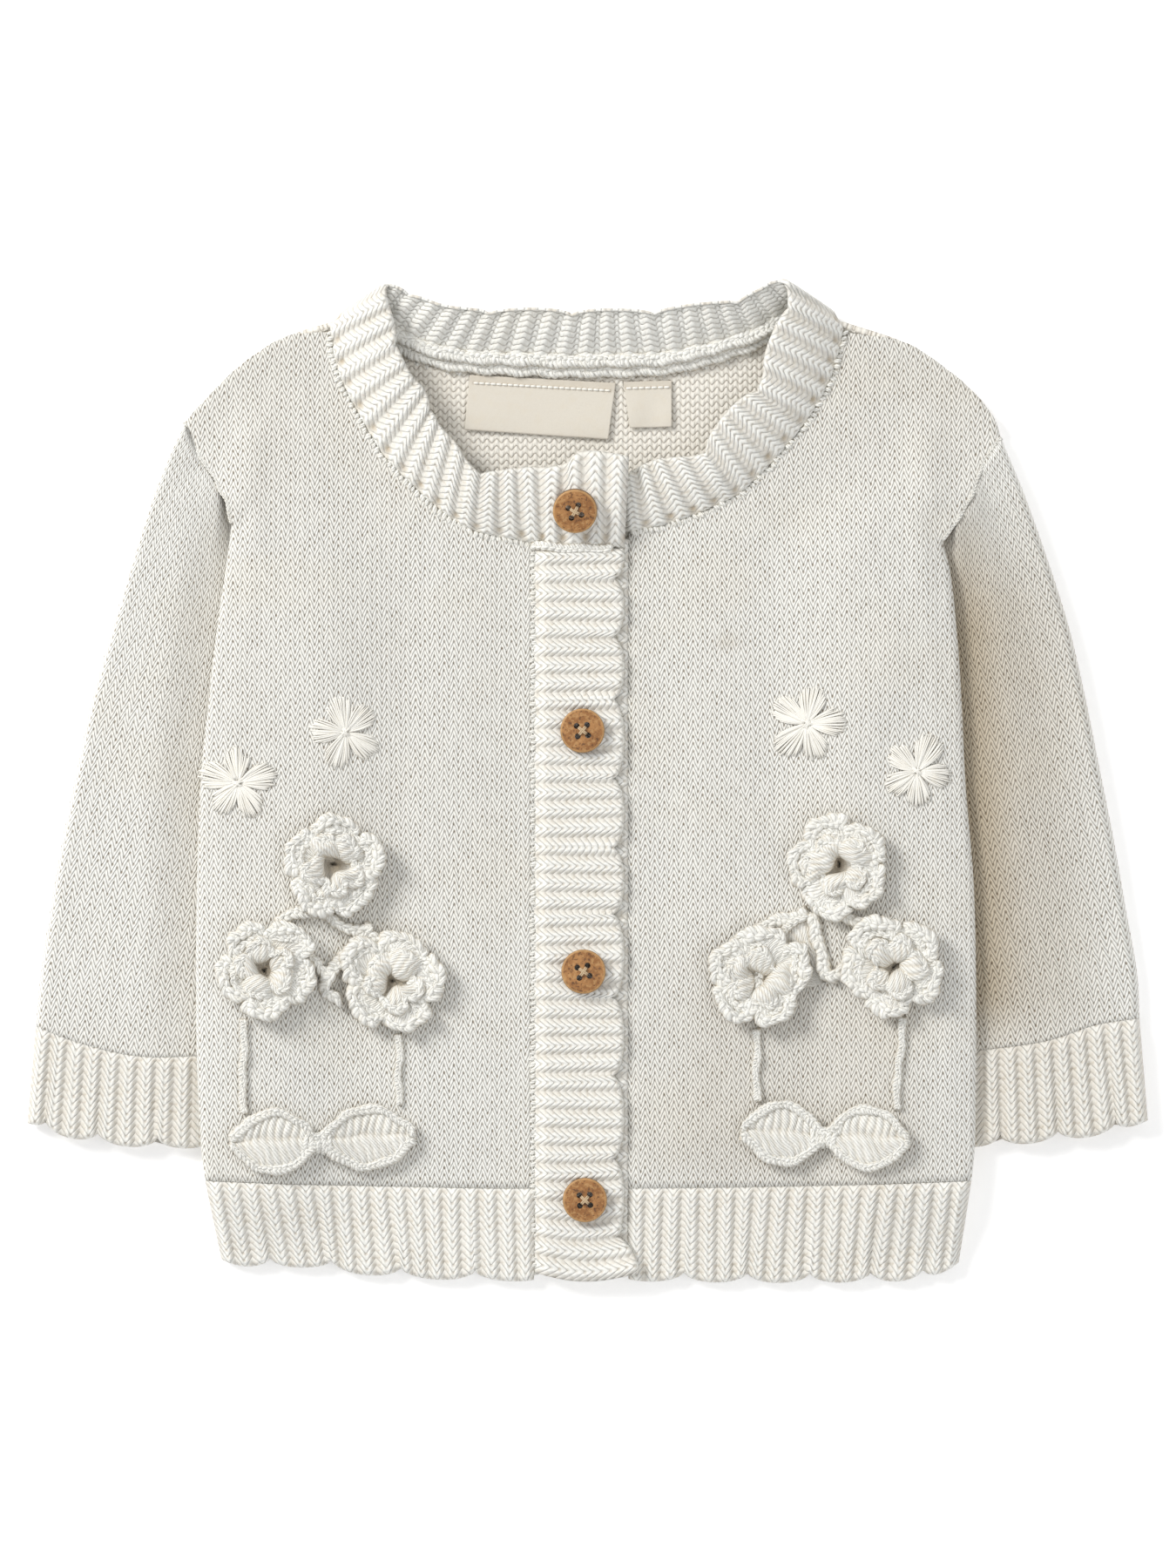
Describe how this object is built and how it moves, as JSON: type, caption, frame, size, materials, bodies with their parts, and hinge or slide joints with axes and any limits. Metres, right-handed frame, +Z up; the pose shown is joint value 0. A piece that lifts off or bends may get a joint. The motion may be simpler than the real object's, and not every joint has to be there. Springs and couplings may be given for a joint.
{
  "type": "baby cardigan",
  "caption": "Knitted baby cardigan lying flat, with long sleeves, ribbed scalloped neckband, bands, cuffs and hem, round buttons, and crochet roses and leaves on both fronts.",
  "frame": {"origin": "middle of the underside of the garment's box, on the surface it lies on", "axes": "+X to the wearer's left along the garment's width, +Y from the hem to the neck, +Z up from the surface, out of the front of the garment"},
  "size_m": [0.3222, 0.2884, 0.016],
  "materials": {
    "knit": "natural white cotton stocking stitch and rib, matt",
    "crochet": "natural white cotton crochet, matt",
    "coconut": "polished coconut shell with dark flecks, satin",
    "label_tape": "woven cotton tape, bare"
  },
  "bodies": {
    "root": {"back_panel": "knit", "front_right": "knit", "front_left": "knit", "hem_front_right": "knit", "hem_front_left": "knit", "hem_back": "knit", "sleeve_right": "knit", "sleeve_left": "knit", "cuff_right": "knit", "cuff_left": "knit", "neckband": "knit", "button_band": "knit", "buttonhole_band": "knit", "button_1": "coconut", "button_2": "coconut", "button_3": "coconut", "button_4": "coconut", "rose_right_top": "crochet", "rose_right_outer": "crochet", "rose_right_inner": "crochet", "rose_left_top": "crochet", "rose_left_inner": "crochet", "rose_left_outer": "crochet", "leaves_right": "crochet", "leaves_left": "crochet", "stem_right_outer": "crochet", "stem_right_inner": "crochet", "stem_left_inner": "crochet", "stem_left_outer": "crochet", "label_main": "label_tape", "label_size": "label_tape"}
  },
  "joints": []
}
